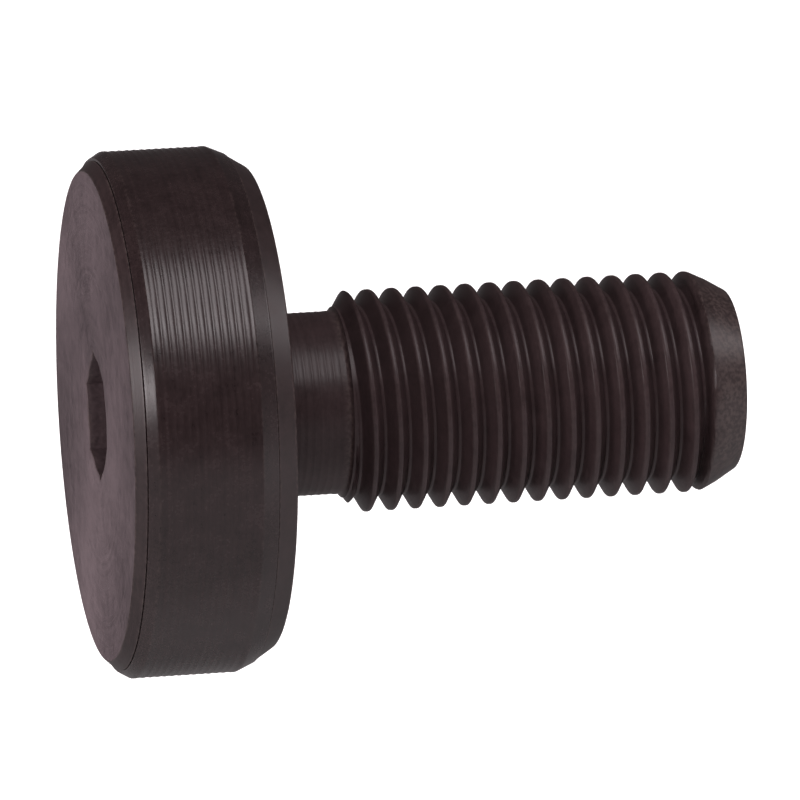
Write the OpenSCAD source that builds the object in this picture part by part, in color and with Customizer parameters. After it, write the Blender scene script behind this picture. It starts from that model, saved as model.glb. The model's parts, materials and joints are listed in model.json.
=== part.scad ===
// Stud-type cam follower: a thin roller on caged needle rollers, with a fully threaded stud.
// Origin at the centre of the roller tread, on the axis. +X points along the stud to its threaded end, +Z is up.
// Millimetres.

/* [Roller] */
// Diameter of the tread
roller_d = 22.225; // [21.5:0.005:26]
// From the middle of the tread to the ring's front side
ring_front = 2.56; // [2.4:0.01:3.5]
// From the middle of the tread to the ring's rear side
ring_rear = 2.83; // [2.4:0.01:3.5]
// Width of the straight tread between its bevelled edges
tread_w = 4.31; // [3.8:0.01:5]
// How far the ring's front bevel drops below the tread
front_drop = 0.26; // [0.1:0.01:0.5]
// How far the ring's rear bevel drops below the tread
rear_drop = 0.31; // [0.1:0.01:0.5]

/* [Head] */
// How far the stud's flange stands out in front of the ring
flange_proud = 0.505; // [0.25:0.005:0.6]
// How far the end plate stands out behind the ring
plate_proud = 0.925; // [0.6:0.005:1.5]
// Radius of the flat front face
face_r = 10.33; // [10:0.01:10.6]
// Radius of the end plate's rear edge
plate_back_r = 10.2; // [9.8:0.01:10.5]
// Width of the hairline seams beside the ring
seam = 0.08; // [0.05:0.01:0.12]

/* [Stud] */
// Diameter over the thread's crests
thread_d = 9.40; // [9.3:0.01:9.5]
// Thread pitch, 24 to the inch
thread_pitch = 1.0583; // [1:0.0001:1.25]
// Length of the stud behind the head
stud_len = 20.47; // [16:0.01:26]
// Length of the relief neck between head and thread
neck_len = 3.55; // [2.5:0.01:5]
// Diameter of the relief neck
neck_d = 7.76; // [6.5:0.01:7.9]
// Length of the rounded thread end
tip_len = 1.61; // [1.4:0.01:3]
// Radius of the flat end face
tip_r = 3.82; // [3.5:0.01:4]

/* [Hexagon socket] */
// Width across flats, 3/16 in
socket_af = 4.763; // [4:0.001:5]
// Depth from the front face
socket_depth = 3.2; // [2.5:0.1:4]
// Turn of the socket's corners away from the vertical, in degrees
socket_turn = 17.5; // [0:0.5:59]

/* [Bearing] */
// Diameter of the raceway on the stud
journal_d = 11.5; // [11.3:0.1:12]
// Diameter of the rollers
needle_d = 2.0; // [1.6:0.1:2]
// Number of rollers
needles = 16; // [10:1:16]
// Radial gap between a roller and each raceway
race_gap = 0.03; // [0.02:0.01:0.05]
// Thickness of the thrust washers
washer_t = 0.30; // [0.2:0.01:0.35]
// Thickness of the stud's flange where it carries the thrust
flange_t = 0.915; // [0.8:0.005:1]

/* [Hidden] */
$fn = 96;
eps = 0.01;
roller_r = roller_d / 2;
crest_r = thread_d / 2;
journal_r = journal_d / 2;
needle_r = needle_d / 2;
pitch_r = journal_r + race_gap + needle_r;
race_r = pitch_r + needle_r + race_gap;
// Places along the axis
front_face = ring_front + flange_proud;
rear_face = ring_rear + plate_proud;
thrust_face = front_face - flange_t;
washer_play = 0.02;
ring_floor = thrust_face - washer_t - 2 * washer_play;
stud_end = rear_face + stud_len;
tip_start = stud_end - tip_len;
thread_start = rear_face + neck_len;
// The rounded end bends at this share of its length, at this radius
tip_bend_share = 0.45;
tip_bend_r = crest_r - 0.35;
tip_bend = tip_start + tip_bend_share * tip_len;
// Recess in each side of the ring, and the shoulders that turn in it
recess_r = 9.80;
shoulder_r = 9.65;
// Rims of the flange and the end plate, a little inside the tread
flange_rim_drop = 0.35;
plate_rim_drop = 0.36;
flange_rim_r = roller_r - flange_rim_drop;
plate_rim_r = roller_r - plate_rim_drop;
// Seat of the end plate, wide enough for the plate to pass over the thread
seat_step = 0.20;
seat_r = crest_r + seat_step;
// Thread form: 60 degree grooves with flats at their crests and roots, all before the rounded end
flank_angle = 30;
crest_flat = thread_pitch / 6;
root_flat = thread_pitch / 8;
flank_len = (thread_pitch - crest_flat - root_flat) / 2;
thread_depth = flank_len / tan(flank_angle);
first_crest = thread_start + flank_len + crest_flat / 2;
grooves = floor((tip_start - first_crest) / thread_pitch);
// How far the groove's cutter reaches past the crests
cutter_rise = 0.5;
// Socket: a drilled pilot hole a little wider than the flats, and a light countersink
pilot_over = 0.09;
pilot_r = socket_af / 2 + pilot_over;
pilot_extra_depth = 0.3;
drill_point_angle = 30;
socket_lip_r = 3.5;
socket_lip_depth = 0.10;
// Gap between the thrust washers and the stud
washer_bore_gap = 0.10;
// Cage between the raceways
cage_wall = 1.05;
cage_end_play = 0.07;
cage_half = thrust_face - washer_play - washer_t - cage_end_play;
cage_rim = 0.30;
pocket_gap = 0.05;
needle_half = cage_half - cage_rim - pocket_gap;
needle_chamfer = 0.15;
// Steel colours
black_steel = "#4a4342";
bearing_steel = "#b9b6b0";
cage_steel = "#a58d5c";
washer_steel = "#8f9295";

function two_digits(n) = n < 10 ? str("0", n) : str(n);
function needle_name(n) = str("needle_roller_", two_digits(n));

// Turns a profile of [radius, place along the axis] points about the X axis
module turned(profile) {
    rotate([0, 90, 0]) rotate_extrude() polygon(profile);
}

// A cylinder on the X axis from one place to another
module rod(r, from, to) {
    translate([from, 0, 0]) rotate([0, 90, 0]) cylinder(r = r, h = to - from);
}

module thread_groove(x) {
    root_r = crest_r - thread_depth;
    reach = crest_r + cutter_rise;
    half = root_flat / 2 + (reach - root_r) * tan(flank_angle);
    turned([
        [root_r, x - root_flat / 2],
        [reach, x - half],
        [reach, x + half],
        [root_r, x + root_flat / 2]
    ]);
}

module stud_blank() {
    turned([
        [0, -front_face],
        [face_r, -front_face],
        [flange_rim_r, -ring_front - seam],
        [shoulder_r, -ring_front - seam],
        [shoulder_r, -thrust_face],
        [journal_r, -thrust_face],
        [journal_r, thrust_face],
        [seat_r, thrust_face],
        [seat_r, rear_face],
        [neck_d / 2, rear_face],
        [neck_d / 2, thread_start],
        [crest_r - thread_depth, thread_start],
        [crest_r, first_crest - crest_flat / 2],
        [crest_r, tip_start],
        [tip_bend_r, tip_bend],
        [tip_r, stud_end],
        [0, stud_end]
    ]);
}

module hexagon_socket() {
    bottom = socket_depth - front_face;
    translate([-front_face - eps, 0, 0]) rotate([0, 90, 0]) rotate(180 - socket_turn)
        cylinder(r = socket_af / sqrt(3), h = socket_depth + eps, $fn = 6);
    turned([
        [0, -front_face - eps],
        [pilot_r, -front_face - eps],
        [pilot_r, bottom + pilot_extra_depth],
        [0, bottom + pilot_extra_depth + pilot_r * tan(drill_point_angle)]
    ]);
    turned([
        [0, -front_face - eps],
        [socket_lip_r, -front_face - eps],
        [pilot_r, -front_face + socket_lip_depth],
        [0, -front_face + socket_lip_depth]
    ]);
}

module stud() {
    color(black_steel) difference() {
        stud_blank();
        hexagon_socket();
        for (k = [0:grooves - 1]) thread_groove(first_crest + (k + 0.5) * thread_pitch);
    }
}

module outer_ring() {
    color(black_steel) turned([
        [race_r, -ring_floor],
        [recess_r, -ring_floor],
        [recess_r, -ring_front],
        [roller_r - front_drop, -ring_front],
        [roller_r, -tread_w / 2],
        [roller_r, tread_w / 2],
        [roller_r - rear_drop, ring_rear],
        [recess_r, ring_rear],
        [recess_r, ring_floor],
        [race_r, ring_floor]
    ]);
}

module rear_end_plate() {
    color(black_steel) turned([
        [seat_r, thrust_face],
        [shoulder_r, thrust_face],
        [shoulder_r, ring_rear + seam],
        [plate_rim_r, ring_rear + seam],
        [plate_back_r, rear_face],
        [seat_r, rear_face]
    ]);
}

module thrust_washer(side) {
    outer = thrust_face - washer_play;
    inner = outer - washer_t;
    color(washer_steel) difference() {
        rod(shoulder_r, min(side * inner, side * outer), max(side * inner, side * outer));
        rod(journal_r + washer_bore_gap, -front_face, front_face);
    }
}

module needle_cage() {
    color(cage_steel) difference() {
        rod(pitch_r + cage_wall / 2, -cage_half, cage_half);
        rod(pitch_r - cage_wall / 2, -front_face, front_face);
        for (n = [1:needles]) at_needle(n)
            rod(needle_r + pocket_gap, -needle_half - pocket_gap, needle_half + pocket_gap);
    }
}

// Moves its children from the axis to a roller's place
module at_needle(n) {
    rotate([(n - 1) * 360 / needles, 0, 0]) translate([0, 0, pitch_r]) children();
}

module needle_roller(n) {
    color(bearing_steel) at_needle(n) turned([
        [0, -needle_half],
        [needle_r - needle_chamfer, -needle_half],
        [needle_r, -needle_half + needle_chamfer],
        [needle_r, needle_half - needle_chamfer],
        [needle_r - needle_chamfer, needle_half],
        [0, needle_half]
    ]);
}

stud();
outer_ring();
rear_end_plate();
needle_cage();
thrust_washer(-1);  // front_thrust_washer
thrust_washer(1);  // rear_thrust_washer
for (n = [1:needles])
    needle_roller(n);
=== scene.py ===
"""Looks of a stud-type cam follower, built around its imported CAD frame.

Lengths are in metres. The stud's axis is X, its threaded end points to +X, and Z is up.
Angles around the axis run right-handed about +X, from +Y towards +Z.
"""
import json
import math

import bmesh
import bpy
import numpy as np
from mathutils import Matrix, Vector


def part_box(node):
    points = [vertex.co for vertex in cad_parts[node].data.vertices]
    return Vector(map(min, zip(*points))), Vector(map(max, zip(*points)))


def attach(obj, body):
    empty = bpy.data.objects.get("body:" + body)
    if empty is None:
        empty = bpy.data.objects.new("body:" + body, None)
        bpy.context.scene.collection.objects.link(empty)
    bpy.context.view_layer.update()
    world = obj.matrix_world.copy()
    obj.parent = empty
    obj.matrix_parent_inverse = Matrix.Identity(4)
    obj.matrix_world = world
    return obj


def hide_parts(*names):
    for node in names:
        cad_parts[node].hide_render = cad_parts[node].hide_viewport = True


MM = 0.001

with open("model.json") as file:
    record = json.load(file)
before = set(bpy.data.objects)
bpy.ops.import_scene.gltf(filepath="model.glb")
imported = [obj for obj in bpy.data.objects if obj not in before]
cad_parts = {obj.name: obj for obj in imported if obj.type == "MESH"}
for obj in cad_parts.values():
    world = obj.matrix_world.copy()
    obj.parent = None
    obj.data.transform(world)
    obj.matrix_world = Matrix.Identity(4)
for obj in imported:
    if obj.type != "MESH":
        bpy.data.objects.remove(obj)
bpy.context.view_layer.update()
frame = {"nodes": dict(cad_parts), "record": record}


# ---------------------------------------------------------------- sizes from the frame

def mount(name):
    """The record's mount of that name."""
    return next(m for m in frame["record"]["mounts"] if m["name"] == name)


STUD_LOW, STUD_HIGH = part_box("stud")
RING_LOW, RING_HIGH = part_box("outer_ring")
PLATE_LOW, PLATE_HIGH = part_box("rear_end_plate")
WASHER_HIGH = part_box("front_thrust_washer")[1]
NEEDLE_LOW, NEEDLE_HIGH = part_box("needle_roller_01")

FRONT = STUD_LOW.x
STUD_END = STUD_HIGH.x
RIM_R = STUD_HIGH.z
TREAD_R = RING_HIGH.z
RING_FRONT = RING_LOW.x
RING_REAR = RING_HIGH.x
REAR = PLATE_HIGH.x
THRUST = PLATE_LOW.x
PLATE_RIM_R = PLATE_HIGH.z
SHOULDER_R = WASHER_HIGH.z
TREAD_HALF = mount("roller_tread")["dims"]["length_mm"] * MM / 2
CREST_R = mount("stud_thread")["dims"]["r_mm"] * MM

# Sizes that the frame doesn't give, as in the CAD
RACE_GAP = 0.03 * MM
JOURNAL_R = NEEDLE_LOW.z - RACE_GAP
RACE_R = NEEDLE_HIGH.z + RACE_GAP
RECESS_R = 9.80 * MM
SEAT_R = 4.90 * MM
RING_FLOOR = 1.81 * MM
FRONT_DROP = 0.26 * MM
REAR_DROP = 0.31 * MM
FACE_R = 10.33 * MM
PLATE_BACK_R = 10.2 * MM
# The CAD's gaps of 0.08 mm beside the ring are narrowed from both sides. The flange and the plate stand SEAM
# from the ring's CAD sides, and the ring's own sides are moved out by LIP
SEAM = 0.047 * MM
LIP = 0.033 * MM

PITCH = 25.4 * MM / 24
NECK_R = 3.88 * MM
NECK_MARKS = 9
NECK_MARK_DEPTH = 0.016 * MM
THREAD_START = REAR + 3.55 * MM
LEAD_IN_ANGLE = math.radians(33)
# Half widths of the flats before rounding, and the depth that 60 degree flanks give between them
CREST_HALF = PITCH / 12
ROOT_HALF = PITCH / 16
THREAD_DEPTH = 0.6134 * PITCH
ROOT_R = CREST_R - THREAD_DEPTH
TIP_R = 3.82 * MM
TIP_START = STUD_END - 1.61 * MM
TIP_BEND = TIP_START + 0.45 * (STUD_END - TIP_START)
TIP_BEND_R = CREST_R - 0.35 * MM
# How bare the edges of each are; 1 is an ordinary edge
THREAD_WEAR = 0.2
TIP_WEAR = 1.2
RING_WEAR = 0.3
# The last groove fills up between these places, and its edges turn paler: partly wear, partly a painted
# highlight on its rounded edge
RUNOUT_START = TIP_START - 0.27 * MM
RUNOUT_END = TIP_START + 0.13 * MM
# A crest crosses the stud's highest side, as the camera sees it, at this place
CREST_PLACE = 9.88 * MM

SOCKET_FLAT_R = 4.763 * MM / 2
SOCKET_DEPTH = 3.2 * MM
PILOT_R = SOCKET_FLAT_R + 0.09 * MM
PILOT_EXTRA = 0.3 * MM
DRILL_ANGLE = math.radians(30)
# The light countersink around the socket, and the rounding of the socket's own edge
SINK_R = 3.5 * MM
SINK_DEPTH = 0.10 * MM
SOCKET_EDGE = 0.04 * MM

TREAD_MARK_PITCH = 0.312 * MM
TREAD_MARK_DEPTH = 0.020 * MM
TREAD_MARK_MARGIN = 0.12 * MM

# Steps around the axis. The first one passes through a corner of the hexagon socket
AROUND = 192
FIRST_ANGLE = math.radians(90 - 17.5)
ANGLES = FIRST_ANGLE + np.arange(AROUND) * 2 * math.pi / AROUND
# Points closer than this count as one
WELD = 1e-8
SHARP_ANGLE = math.radians(42)
# Flanks are cut into steps of about this height, so that their shading stays even
FLANK_STEP = 0.12 * MM


# ---------------------------------------------------------------- outlines

def unit(vector):
    return vector / np.linalg.norm(vector)


def rounded(corners, closed=False, steps=4, rest=0.06 * MM, worn=1.0):
    """Rows (x, radius, wear) along an outline of corners (x, radius, fillet).

    The fillets carry the wear. On the flats beside them it fades to none over the distance rest, where there
    is room for it."""
    rows = []
    count = len(corners)
    for i, (x, r, fillet) in enumerate(corners):
        here = np.array((x, r))
        if fillet == 0 or (not closed and i in (0, count - 1)):
            rows.append((x, r, 0.0))
            continue
        before = np.array(corners[i - 1][:2])
        after = np.array(corners[(i + 1) % count][:2])
        to_before, to_after = unit(before - here), unit(after - here)
        half = math.acos(np.clip(to_before @ to_after, -1, 1)) / 2
        room = 0.45 * min(np.linalg.norm(before - here), np.linalg.norm(after - here))
        reach = min(fillet / math.tan(half), room)
        radius = reach * math.tan(half)
        centre = here + unit(to_before + to_after) * radius / math.sin(half)
        start = here + to_before * reach
        end = here + to_after * reach
        sweep = math.pi - 2 * half
        if room - reach > rest:
            rows.append((*(start + to_before * rest), 0.0))
        for k in range(steps + 1):
            a = sweep * k / steps
            arm = math.sin(sweep - a) * (start - centre) + math.sin(a) * (end - centre)
            rows.append((*(centre + arm / math.sin(sweep)), worn))
        if room - reach > rest:
            rows.append((*(end + to_after * rest), 0.0))
    return rows


def turned_marks(start, end, radius, pitch, depth, steps=8):
    """Rows of a cylinder with fine scalloped tool marks, from one place to another."""
    count = round((end - start) / pitch)
    rows = []
    for k in range(count * steps + 1):
        share = k / steps % 1
        hollow = 1 - (2 * share - 1) ** 2
        x = start + (end - start) * k / (count * steps)
        rows.append((x, radius - depth * hollow, 0.0))
    return rows


# ---------------------------------------------------------------- meshes

def spun(rows):
    """(points, wear, quads) of rows (x, radius, wear) turned about the X axis.

    A row's radius may be an array, with one value for each angle."""
    points = np.zeros((len(rows), AROUND, 3))
    wear = np.zeros((len(rows), AROUND))
    for j, (x, r, worn) in enumerate(rows):
        points[j, :, 0] = x
        points[j, :, 1] = r * np.cos(ANGLES)
        points[j, :, 2] = r * np.sin(ANGLES)
        wear[j] = worn
    i = np.arange(AROUND)
    after = (i + 1) % AROUND
    quads = []
    for j in range(len(rows) - 1):
        here, beside = j * AROUND, (j + 1) * AROUND
        quads.append(np.stack((here + i, here + after, beside + after, beside + i), axis=1))
    return points.reshape(-1, 3), wear.reshape(-1), np.concatenate(quads)


def helical(profile, start, stop, envelope, filling, crest_place):
    """(points, wear, quads) of a right-hand thread between two places.

    The profile is one pitch of rows (offset, radius), with its crest half a pitch along. Envelope and
    filling give the largest and smallest radius at a place. The turns beyond each end shrink onto that
    end's circle."""
    begin = crest_place - PITCH / 2
    begin -= PITCH * math.ceil((begin - (start - PITCH)) / PITCH)
    turns = math.ceil((stop - begin) / PITCH) + 1
    across = len(profile)
    u = np.arange(turns * AROUND + 1)
    angle = FIRST_ANGLE + u * 2 * math.pi / AROUND
    offset = np.array([row[0] for row in profile])
    height = np.array([row[1] for row in profile])
    x = np.clip(begin + PITCH * u[:, None] / AROUND + offset[None, :], start, stop)
    r = np.clip(height[None, :], filling(x), envelope(x))
    points = np.stack((x, r * np.cos(angle)[:, None], r * np.sin(angle)[:, None]), axis=2)
    root = height.min()
    # Edges grow paler towards the run-out: wear, and there also a painted highlight where the last crest
    # meets the end
    wear_and_glint = np.interp(x, [RUNOUT_START, RUNOUT_END], [THREAD_WEAR, TIP_WEAR])
    wear = wear_and_glint * np.clip((r - root) / (height.max() - root), 0, 1) ** 6
    quads = []
    for q in range(across):
        if q < across - 1:
            here = u[:-1]
            beside = here * across + q + 1
        else:
            here = u[: -1 - AROUND]
            beside = (here + AROUND) * across
        low = here * across + q
        quads.append(np.stack((low, low + across, beside + across, beside), axis=1))
    return points.reshape(-1, 3), wear.reshape(-1), np.concatenate(quads)


def piece(name, parts, body, replaced):
    """One closed mesh of parts that share their end circles. It rides on a body, in place of a CAD node."""
    points = np.concatenate([p[0] for p in parts])
    wear = np.concatenate([p[1] for p in parts])
    starts = np.cumsum([0] + [len(p[0]) for p in parts[:-1]])
    quads = np.concatenate([p[2] + start for p, start in zip(parts, starts)])
    keys = np.round(points / WELD).astype(np.int64)
    _, first, index = np.unique(keys, axis=0, return_index=True, return_inverse=True)
    index = index.reshape(-1)
    faces = []
    for quad in index[quads]:
        loop = [int(v) for k, v in enumerate(quad) if v != quad[k - 1]]
        if len(set(loop)) == len(loop) > 2:
            faces.append(loop)
    mesh = bpy.data.meshes.new(name)
    mesh.from_pydata(points[first], [], faces)
    worn = mesh.attributes.new("wear", "FLOAT", "POINT")
    worn.data.foreach_set("value", wear[first].astype(np.float32))
    mesh.validate()
    mesh.shade_smooth()
    mesh.set_sharp_from_angle(angle=SHARP_ANGLE)
    obj = bpy.data.objects.new(name, mesh)
    bpy.context.scene.collection.objects.link(obj)
    make_outward(obj)
    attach(obj, body)
    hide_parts(replaced)
    return obj


def make_outward(obj):
    """Turns every face's normal outward."""
    bm = bmesh.new()
    bm.from_mesh(obj.data)
    bmesh.ops.remove_doubles(bm, verts=bm.verts, dist=20 * WELD)
    bmesh.ops.recalc_face_normals(bm, faces=bm.faces)
    bm.to_mesh(obj.data)
    bm.free()


# ---------------------------------------------------------------- the stud

def socket_radius():
    """Radius of the socket's wall at each angle. The pilot hole cuts a shallow scallop in each flat."""
    from_flat = (ANGLES - FIRST_ANGLE) % (math.pi / 3) - math.pi / 6
    return np.maximum(SOCKET_FLAT_R / np.cos(from_flat), PILOT_R)


def front_rows():
    """From the bottom of the socket out to the flange's rim and in to the journal."""
    wall = socket_radius()
    rim = wall + SOCKET_EDGE
    bottom = FRONT + SOCKET_DEPTH
    slope = SINK_DEPTH / (SINK_R - PILOT_R)
    flat_r = FACE_R - 0.2 * MM
    marks_start, marks_end = REAR + 0.35 * MM, THREAD_START - 0.4 * MM
    rows = [
        (bottom + PILOT_EXTRA + PILOT_R * math.tan(DRILL_ANGLE), 0.0, 0.0),
        (bottom + PILOT_EXTRA, PILOT_R, 0.0),
        (bottom, PILOT_R, 0.0),
        (bottom, wall, 0.0),
    ]
    for share in (0.12, 0.4, 0.7, 0.9):
        rows.append((bottom + (FRONT - bottom) * share, wall, 0.0))
    for a in (0, 30, 60, 90):
        turn = math.radians(a)
        r = wall + SOCKET_EDGE * (1 - math.cos(turn))
        x = FRONT + slope * (SINK_R - rim) + SOCKET_EDGE * (1 - math.sin(turn))
        rows.append((x, r, 1.0))
    for share in (0.15, 0.5, 0.85):
        r = rim + (SINK_R - rim) * share
        rows.append((FRONT + slope * (SINK_R - r), r, 0.0))
    rows.append((FRONT, SINK_R, 0.2))
    face_steps = 12
    for k in range(1, face_steps):
        rows.append((FRONT, SINK_R + (flat_r - SINK_R) * k / face_steps, 0.0))
    rows += rounded(
        [
            (FRONT, flat_r, 0),
            (FRONT, FACE_R, 0.06 * MM),
            (RING_FRONT - SEAM, RIM_R, 0.02 * MM),
            (RING_FRONT - SEAM, SHOULDER_R, 0.03 * MM),
            (-THRUST, SHOULDER_R, 0.05 * MM),
            (-THRUST, JOURNAL_R, 0.1 * MM),
            (THRUST, JOURNAL_R, 0.05 * MM),
            (THRUST, SEAT_R, 0.05 * MM),
            (REAR, SEAT_R, 0.05 * MM),
            (REAR, NECK_R, 0.25 * MM),
            (marks_start, NECK_R, 0),
        ]
    )
    mark_pitch = (marks_end - marks_start) / NECK_MARKS
    rows += turned_marks(marks_start, marks_end, NECK_R, mark_pitch, NECK_MARK_DEPTH)[1:]
    rows += rounded(
        [
            (marks_end, NECK_R, 0),
            (THREAD_START - 0.1 * MM, NECK_R, 0.2 * MM),
            (THREAD_START, ROOT_R, 0),
        ]
    )[1:]
    return rows


def thread_profile():
    """One pitch of the thread form: 60 degree flanks in short steps, rounded crests and roots."""
    form = rounded(
        [
            (-ROOT_HALF, ROOT_R, 0.05 * MM),
            (ROOT_HALF, ROOT_R, 0.05 * MM),
            (PITCH / 2 - CREST_HALF, CREST_R, 0.09 * MM),
            (PITCH / 2 + CREST_HALF, CREST_R, 0.09 * MM),
            (PITCH - ROOT_HALF, ROOT_R, 0.05 * MM),
            (PITCH + ROOT_HALF, ROOT_R, 0.05 * MM),
        ],
        steps=3,
        rest=0.05 * MM,
    )
    rows = []
    for (x, r, _), (next_x, next_r, _) in zip(form, form[1:]):
        steps = math.ceil(abs(next_r - r) / FLANK_STEP)
        for k in range(steps):
            rows.append((x + (next_x - x) * k / steps, r + (next_r - r) * k / steps))
    return [row for row in rows if 0 <= row[0] < PITCH]


def tip_path():
    """The rounded thread end, from the crests to the middle of the end face."""
    return rounded(
        [
            (TIP_START - 0.2 * MM, CREST_R, 0),
            (TIP_START, CREST_R, 0.9 * MM),
            (TIP_BEND, TIP_BEND_R, 1.6 * MM),
            (STUD_END, TIP_R, 0.16 * MM),
            (STUD_END, 0, 0),
        ],
        steps=6,
    )


def stud():
    """The stud, from the socket in its flange to the end of its right-hand thread."""
    path = tip_path()
    bevel = [row for row in path if row[1] >= TIP_R]
    bevel_x = np.array([row[0] for row in bevel])
    bevel_r = np.array([row[1] for row in bevel])
    lead_in = THREAD_START + 0.1 * MM
    crests_start = lead_in + THREAD_DEPTH * math.tan(LEAD_IN_ANGLE)

    def envelope(x):
        """The largest radius: a slope up to the crests, and the rounded end."""
        return np.interp(x, [lead_in, crests_start, *bevel_x], [ROOT_R, CREST_R, *bevel_r])

    def filling(x):
        """The smallest radius: the roots, and a smooth rise to the crests at the run-out."""
        full = envelope(x)
        share = np.clip((x - RUNOUT_START) / (RUNOUT_END - RUNOUT_START), 0, 1)
        return ROOT_R + (full - ROOT_R) * share * share * (3 - 2 * share)

    end_rows = [(RUNOUT_END, float(envelope(RUNOUT_END)), TIP_WEAR)]
    end_rows += [(x, r, max(worn, TIP_WEAR)) for x, r, worn in path if x > RUNOUT_END]
    parts = [
        spun(front_rows()),
        helical(thread_profile(), THREAD_START, RUNOUT_END, envelope, filling, CREST_PLACE),
        spun(end_rows),
    ]
    return piece("threaded_stud", parts, "stud_body", "stud")


# ---------------------------------------------------------------- the roller

def roller():
    """The outer ring, with scalloped tool marks on its tread."""
    marks_start = -TREAD_HALF + TREAD_MARK_MARGIN
    count = int(2 * (TREAD_HALF - TREAD_MARK_MARGIN) / TREAD_MARK_PITCH)
    marks_end = marks_start + count * TREAD_MARK_PITCH
    marks = turned_marks(marks_start, marks_end, TREAD_R, TREAD_MARK_PITCH, TREAD_MARK_DEPTH)
    front = rounded(
        [
            (-RING_FLOOR, RACE_R, 0),
            (-RING_FLOOR, RECESS_R, 0.05 * MM),
            (RING_FRONT - LIP, RECESS_R, 0.03 * MM),
            (RING_FRONT - LIP, TREAD_R - FRONT_DROP, 0.03 * MM),
            (-TREAD_HALF, TREAD_R, 0.10 * MM),
            (-TREAD_HALF + 0.3 * MM, TREAD_R, 0),
        ],
        worn=RING_WEAR,
    )
    rear = rounded(
        [
            (TREAD_HALF - 0.3 * MM, TREAD_R, 0),
            (TREAD_HALF, TREAD_R, 0.10 * MM),
            (RING_REAR + LIP, TREAD_R - REAR_DROP, 0.02 * MM),
            (RING_REAR + LIP, RECESS_R, 0.03 * MM),
            (RING_FLOOR, RECESS_R, 0.05 * MM),
            (RING_FLOOR, RACE_R, 0),
        ],
        worn=RING_WEAR,
    )
    rows = front[:-1] + marks + rear[1:]
    return piece("roller_ring", [spun(rows + rows[:1])], "ring", "outer_ring")


def end_plate():
    """The pressed plate behind the roller, with a long bevelled rim."""
    rows = rounded(
        [
            (THRUST, SEAT_R, 0.04 * MM),
            (THRUST, SHOULDER_R, 0.05 * MM),
            (RING_REAR + SEAM, SHOULDER_R, 0.03 * MM),
            (RING_REAR + SEAM, PLATE_RIM_R, 0.02 * MM),
            (REAR, PLATE_BACK_R, 0.15 * MM),
            (REAR, SEAT_R, 0.04 * MM),
        ],
        closed=True,
    )
    return piece("end_plate", [spun(rows + rows[:1])], "stud_body", "rear_end_plate")


# ---------------------------------------------------------------- materials

class Nodes:
    """Adds shader nodes to one material and links them."""

    def __init__(self, name):
        self.material = bpy.data.materials.new(name)
        self.material.use_nodes = True
        self.tree = self.material.node_tree
        self.shader = self.tree.nodes["Principled BSDF"]

    def add(self, kind, inputs=None, **settings):
        node = self.tree.nodes.new(kind)
        for key, value in settings.items():
            setattr(node, key, value)
        for key, value in (inputs or {}).items():
            if isinstance(value, bpy.types.NodeSocket):
                self.tree.links.new(value, node.inputs[key])
            else:
                node.inputs[key].default_value = value
        return node

    def math(self, operation, *values):
        return self.add("ShaderNodeMath", dict(enumerate(values)), operation=operation).outputs[0]

    def weigh(self, *terms):
        """The sum of values, each times its weight."""
        total = self.math("MULTIPLY", *terms[0])
        for value, weight in terms[1:]:
            total = self.math("ADD", total, self.math("MULTIPLY", value, weight))
        return total

    def noise(self, size, detail=2.0, roughness=0.5, along=None, seed=0.0):
        """Noise of that grain size: in space, or in one direction along a value. The seed shifts it."""
        inputs = {"Scale": 1 / size, "Detail": detail, "Roughness": roughness}
        if along is None:
            inputs["Vector"] = self.shifted_place(seed)
            return self.add("ShaderNodeTexNoise", inputs).outputs["Fac"]
        inputs["W"] = self.math("ADD", along, seed)
        return self.add("ShaderNodeTexNoise", inputs, noise_dimensions="1D").outputs["Fac"]

    def place(self):
        return self.add("ShaderNodeTexCoord").outputs["Object"]

    def shifted_place(self, shift):
        inputs = {0: self.place(), 1: (shift, shift, shift)}
        return self.add("ShaderNodeVectorMath", inputs, operation="ADD").outputs[0]

    def across(self):
        """A value that grows along the axis and away from it, so its steps are rings on turned surfaces."""
        x, y, z = self.add("ShaderNodeSeparateXYZ", {0: self.place()}).outputs
        squares = self.math("ADD", self.math("MULTIPLY", y, y), self.math("MULTIPLY", z, z))
        return self.math("ADD", x, self.math("SQRT", squares))

    def spread(self, value, low, high, to_low, to_high):
        """The value stretched from one range to another, clamped."""
        inputs = {"Value": value, "From Min": low, "From Max": high, "To Min": to_low, "To Max": to_high}
        return self.add("ShaderNodeMapRange", inputs).outputs["Result"]

    def blend(self, share, one, other):
        """A mix of two colours. Sockets 6 and 7 take the colours, and output 2 gives the mixed one."""
        inputs = {"Factor": share, 6: one, 7: other}
        return self.add("ShaderNodeMix", inputs, data_type="RGBA").outputs[2]

    def bump(self, height, distance, under=None):
        """Bumps of that height in metres, on top of the ones under them."""
        inputs = {"Height": height, "Distance": distance, "Strength": 1.0}
        if under is not None:
            inputs["Normal"] = under
        return self.add("ShaderNodeBump", inputs).outputs[0]

    def connect(self, socket, value):
        self.tree.links.new(value, self.shader.inputs[socket])


# Black oxide has two colours on each part, and one where its edges are worn, which at the thread's run-out
# also paints a highlight
DARK = (0.0066, 0.0041, 0.0042, 1)
BROWN = (0.0133, 0.0083, 0.0085, 1)
STUD_DARK = (0.0087, 0.0055, 0.0056, 1)
STUD_BROWN = (0.0168, 0.0105, 0.0108, 1)
THREAD_DARK = (0.0123, 0.0078, 0.0081, 1)
THREAD_BROWN = (0.0212, 0.0136, 0.0141, 1)
SOCKET_DARK = (0.0138, 0.0088, 0.0096, 1)
SOCKET_BROWN = (0.0396, 0.0266, 0.0288, 1)
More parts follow.
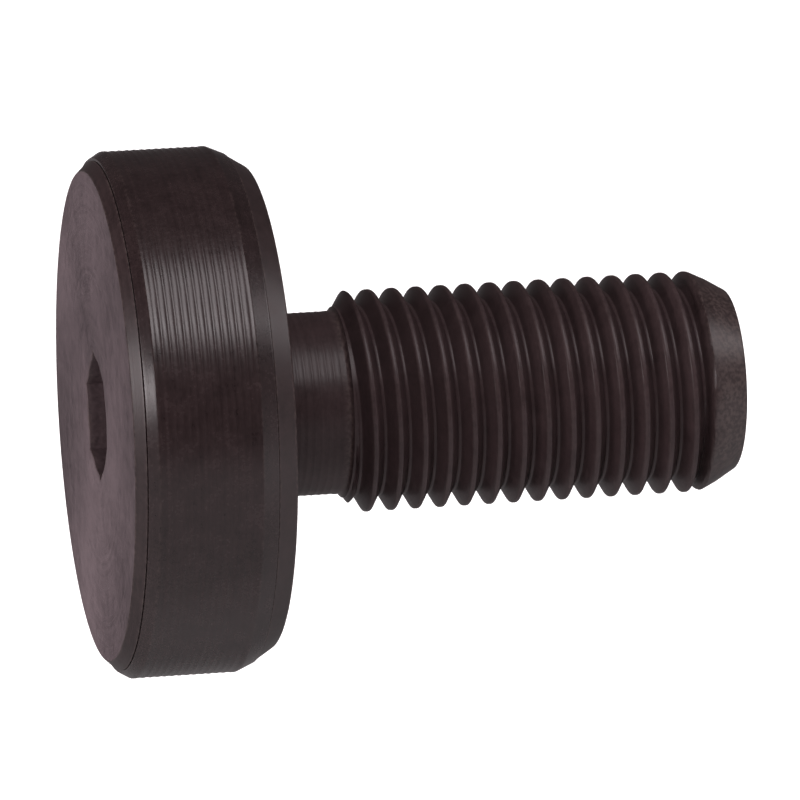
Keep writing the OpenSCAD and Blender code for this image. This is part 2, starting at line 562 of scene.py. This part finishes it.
# The flat face's lighter colours are partly its matte finish and partly painted sheen, standing in for the
# bright surroundings it reflects at a grazing view
FACE_DARK_WITH_SHEEN = (0.0234, 0.0160, 0.0183, 1)
FACE_BROWN_WITH_SHEEN = (0.0764, 0.0562, 0.0616, 1)
WORN_AND_GLINT = (0.0338, 0.0239, 0.0225, 1)
# How much the mottle, the grain and the rings count in the colour, after the clouds have had their share
MOTTLE_WEIGHT, GRAIN_WEIGHT, RING_WEIGHT = 0.45, 0.35, 0.2


def black_oxide(
    name, dark, brown, rough_low, rough_high, marks, grain,
    gloss=0.2, cloud_size=2.5 * MM, cloud_share=0.2,
):
    """Black oxide on turned steel: rings of tool marks, a fine grain, mottled colour and paler worn edges.

    Marks and grain are the depths of the tool marks and the grain."""
    n = Nodes(name)
    rings = n.across()
    cloud = n.noise(cloud_size, detail=1.0)
    mottle = n.noise(0.8 * MM, detail=4.0, roughness=0.6)
    fine = n.noise(0.16 * MM, detail=2.0, roughness=0.5, seed=0.02)
    ring_tint = n.noise(0.22 * MM, detail=3.0, along=rings)
    rest = 1 - cloud_share
    tint = n.weigh(
        (cloud, cloud_share),
        (mottle, MOTTLE_WEIGHT * rest),
        (fine, GRAIN_WEIGHT * rest),
        (ring_tint, RING_WEIGHT * rest),
    )
    colour = n.blend(n.spread(tint, 0.36, 0.64, 0.0, 1.0), dark, brown)
    # The wear attribute pales worn edges, and at the thread's run-out it also carries a painted highlight
    edge = n.add("ShaderNodeAttribute", attribute_name="wear").outputs["Fac"]
    chips = n.spread(fine, 0.42, 0.62, 0.05, 0.65)
    worn = n.math("MULTIPLY", edge, chips)
    n.connect("Base Color", n.blend(worn, colour, WORN_AND_GLINT))
    n.connect("Roughness", n.spread(tint, 0.35, 0.65, rough_low, rough_high))
    tool_marks = n.noise(0.075 * MM, detail=2.0, along=rings, seed=0.01)
    under = n.bump(tool_marks, marks)
    n.connect("Normal", n.bump(fine, grain, under))
    n.shader.inputs["Specular IOR Level"].default_value = gloss
    n.shader.inputs["IOR"].default_value = 1.5
    return n.material


def bright_steel(name, light, dark, rough_low, rough_high, ring_size):
    """Ground or turned bright steel with fine rings."""
    n = Nodes(name)
    rings = n.noise(ring_size, detail=3.0, along=n.across())
    smudge = n.noise(1.5 * MM, detail=3.0)
    tint = n.math("ADD", n.math("MULTIPLY", rings, 0.6), n.math("MULTIPLY", smudge, 0.4))
    share = n.spread(tint, 0.35, 0.65, 0.0, 1.0)
    n.connect("Base Color", n.blend(share, dark, light))
    n.connect("Roughness", n.spread(tint, 0.35, 0.65, rough_low, rough_high))
    n.connect("Normal", n.bump(rings, 0.002 * MM))
    n.shader.inputs["Metallic"].default_value = 1.0
    return n.material


# ---------------------------------------------------------------- camera, floor and lights

VIEW_AZIMUTH = math.radians(-11.16)
VIEW_ELEVATION = math.radians(17.42)
VIEW_DISTANCE = 377.3 * MM
VIEW_LENS = 403.7
AIM = Vector((9.602, -2.126, 0.606)) * MM
# Colour of the lamps and the room, and how far the lamps stand from the part
LAMP = (1, 0.93, 0.95)
LAMP_DISTANCE = 0.5
# Brightness of the room, of the lit table top, and of a pale card
ROOM, TABLE, CARD = 0.07, 1.15, 0.9
# Direction of the card's middle, and the cosine of the angle from there to its edge
CARD_AT = Vector((0.85, -0.50, -0.08))
CARD_EDGE = 0.90


def camera():
    """A long lens on the part's -Y side, a little above it and towards its front face."""
    sin_a, cos_a = math.sin(VIEW_AZIMUTH), math.cos(VIEW_AZIMUTH)
    sin_e, cos_e = math.sin(VIEW_ELEVATION), math.cos(VIEW_ELEVATION)
    back = Vector((sin_a * cos_e, -cos_a * cos_e, sin_e))
    data = bpy.data.cameras.new("camera")
    data.lens = VIEW_LENS
    data.sensor_width = 36
    data.clip_start = 0.01
    data.clip_end = 20
    obj = bpy.data.objects.new("camera", data)
    obj.location = AIM + back * VIEW_DISTANCE
    obj.rotation_euler = back.to_track_quat("Z", "Y").to_euler()
    bpy.context.scene.collection.objects.link(obj)
    bpy.context.scene.camera = obj


def floor():
    """A wide white floor, low enough that the part's shadow falls outside the view.

    The steel doesn't mirror it."""
    half, level = 2.0, -45 * MM
    corners = [(-half, -half, level), (half, -half, level), (half, half, level), (-half, half, level)]
    mesh = bpy.data.meshes.new("floor")
    mesh.from_pydata(corners, [], [(0, 1, 2, 3)])
    obj = bpy.data.objects.new("floor", mesh)
    obj.visible_glossy = False
    bpy.context.scene.collection.objects.link(obj)
    n = Nodes("floor_white")
    n.shader.inputs["Base Color"].default_value = (0.92, 0.92, 0.92, 1)
    n.shader.inputs["Roughness"].default_value = 0.9
    n.shader.inputs["Specular IOR Level"].default_value = 0.1
    mesh.materials.append(n.material)


def softbox(name, direction, size, power, in_gloss=True):
    """A rectangular soft light that looks at the middle of the head, from a direction.

    Without in_gloss, glossy surfaces don't mirror it."""
    towards = Vector(direction).normalized()
    data = bpy.data.lights.new(name, "AREA")
    data.shape = "RECTANGLE"
    data.size, data.size_y = size
    data.energy = power
    data.color = LAMP
    obj = bpy.data.objects.new(name, data)
    obj.location = towards * LAMP_DISTANCE
    obj.rotation_euler = towards.to_track_quat("Z", "Y").to_euler()
    obj.visible_glossy = in_gloss
    bpy.context.scene.collection.objects.link(obj)


def overhead(name, strength, spread):
    """A wide even light from straight above, for the floor. Glossy surfaces don't mirror it."""
    data = bpy.data.lights.new(name, "SUN")
    data.energy = strength
    data.angle = math.radians(spread)
    obj = bpy.data.objects.new(name, data)
    obj.visible_glossy = False
    bpy.context.scene.collection.objects.link(obj)


def surroundings():
    """A dim room over a table top that is lit in front of the part, and a pale card beside the thread's end.

    The floor hides what is below it from all but the mirrored rays."""
    world = bpy.data.worlds.new("world")
    world.use_nodes = True
    tree = world.node_tree
    add = tree.nodes.new

    def ramp(value, low, high, to_low, to_high):
        """A smooth ramp of the value, from one range to another."""
        node = add("ShaderNodeMapRange")
        node.interpolation_type = "SMOOTHSTEP"
        tree.links.new(value, node.inputs["Value"])
        limits = {"From Min": low, "From Max": high, "To Min": to_low, "To Max": to_high}
        for key, number in limits.items():
            node.inputs[key].default_value = number
        return node.outputs["Result"]

    direction = add("ShaderNodeTexCoord").outputs["Generated"]
    apart = add("ShaderNodeSeparateXYZ")
    tree.links.new(direction, apart.inputs[0])
    # The table top starts at the horizon, and it is dimmer behind the part than in front
    below = ramp(apart.outputs["Z"], -0.22, 0.06, 1.0, 0.0)
    in_front = ramp(apart.outputs["Y"], -0.4, 0.6, 1.0, 0.3)
    table = add("ShaderNodeMath")
    table.operation = "MULTIPLY"
    tree.links.new(below, table.inputs[0])
    tree.links.new(in_front, table.inputs[1])
    towards_card = add("ShaderNodeVectorMath")
    towards_card.operation = "DOT_PRODUCT"
    tree.links.new(direction, towards_card.inputs[0])
    towards_card.inputs[1].default_value = CARD_AT.normalized()
    total = add("ShaderNodeMath")
    tree.links.new(ramp(table.outputs[0], 0.0, 1.0, ROOM, TABLE), total.inputs[0])
    tree.links.new(ramp(towards_card.outputs["Value"], CARD_EDGE, 1.0, 0.0, CARD), total.inputs[1])
    tree.links.new(total.outputs[0], tree.nodes["Background"].inputs["Strength"])
    tree.nodes["Background"].inputs["Color"].default_value = (*LAMP, 1)
    return world


def lights():
    """Two boxes above, one to each side, a low fill in front and an even light for the floor."""
    softbox("key", (0.185, -0.60, 0.78), (0.20, 0.08), 0.72)
    softbox("key_upper", (0.185, -0.35, 0.92), (0.20, 0.25), 1.6)
    softbox("side", (-0.885, -0.34, 0.29), (0.27, 0.10), 2.5)
    softbox("right", (0.870, -0.07, 0.480), (0.20, 0.15), 0.78)
    softbox("fill", (-0.50, -0.85, 0.10), (0.40, 0.40), 2.0, in_gloss=False)
    overhead("overhead", 2.2, 60)
    bpy.context.scene.world = surroundings()
    bpy.context.scene.view_settings.view_transform = "Standard"


# ---------------------------------------------------------------- putting it together

def coat(obj, material):
    """Gives an object one material all over."""
    obj.data.materials.clear()
    obj.data.materials.append(material)


def coat_places(obj, flat, socket, thread):
    """Gives the stud's flat face, its socket, and its thread with the neck materials of their own."""
    for material in (flat, socket, thread):
        obj.data.materials.append(material)
    face_end = FRONT + 1.5 * SINK_DEPTH
    socket_end = 2 * RING_REAR
    neck_start = REAR + 0.1 * MM
    for face in obj.data.polygons:
        middle = face.center
        from_axis = math.hypot(middle.y, middle.z)
        if middle.x < face_end and from_axis < FACE_R - 0.05 * MM:
            face.material_index = 1
        if face_end <= middle.x < socket_end and from_axis < SINK_R:
            face.material_index = 2
        if neck_start < middle.x < RUNOUT_START:
            face.material_index = 3


satin = black_oxide("black_oxide_stud", STUD_DARK, STUD_BROWN, 0.32, 0.42, 0.0025 * MM, 0.0012 * MM)
thread = black_oxide(
    "black_oxide_thread", THREAD_DARK, THREAD_BROWN, 0.28, 0.40, 0.0025 * MM, 0.0012 * MM,
    gloss=0.10,
)
socket = black_oxide(
    "black_oxide_socket", SOCKET_DARK, SOCKET_BROWN, 0.45, 0.60, 0.0025 * MM, 0.0020 * MM,
)
tread = black_oxide("black_oxide_tread", DARK, BROWN, 0.22, 0.30, 0.0012 * MM, 0.0006 * MM)
# On the face the clouds are large and strong: random tone, and also painted sheen standing in for the
# lighter and darker sectors that its turned rings reflect
face_with_sheen = black_oxide(
    "black_oxide_face_with_sheen", FACE_DARK_WITH_SHEEN, FACE_BROWN_WITH_SHEEN, 0.66, 0.82, 0.0060 * MM, 0.0030 * MM,
    cloud_size=9 * MM, cloud_share=0.40,
)
stud_piece = stud()
coat(stud_piece, satin)
coat_places(stud_piece, face_with_sheen, socket, thread)
coat(roller(), tread)
coat(end_plate(), satin)

roller_steel = bright_steel(
    "ground_steel", (0.78, 0.77, 0.75, 1), (0.62, 0.61, 0.60, 1), 0.12, 0.22, 0.06 * MM,
)
cage_steel = bright_steel(
    "cage_steel", (0.62, 0.55, 0.42, 1), (0.46, 0.40, 0.30, 1), 0.28, 0.42, 0.12 * MM,
)
washer_steel = bright_steel(
    "washer_steel", (0.58, 0.58, 0.57, 1), (0.44, 0.44, 0.45, 1), 0.22, 0.36, 0.09 * MM,
)
for node_name, node in frame["nodes"].items():
    if node_name.startswith("needle_roller"):
        coat(node, roller_steel)
    elif node_name == "needle_cage":
        coat(node, cage_steel)
    elif node_name.endswith("thrust_washer"):
        coat(node, washer_steel)

camera()
floor()
lights()
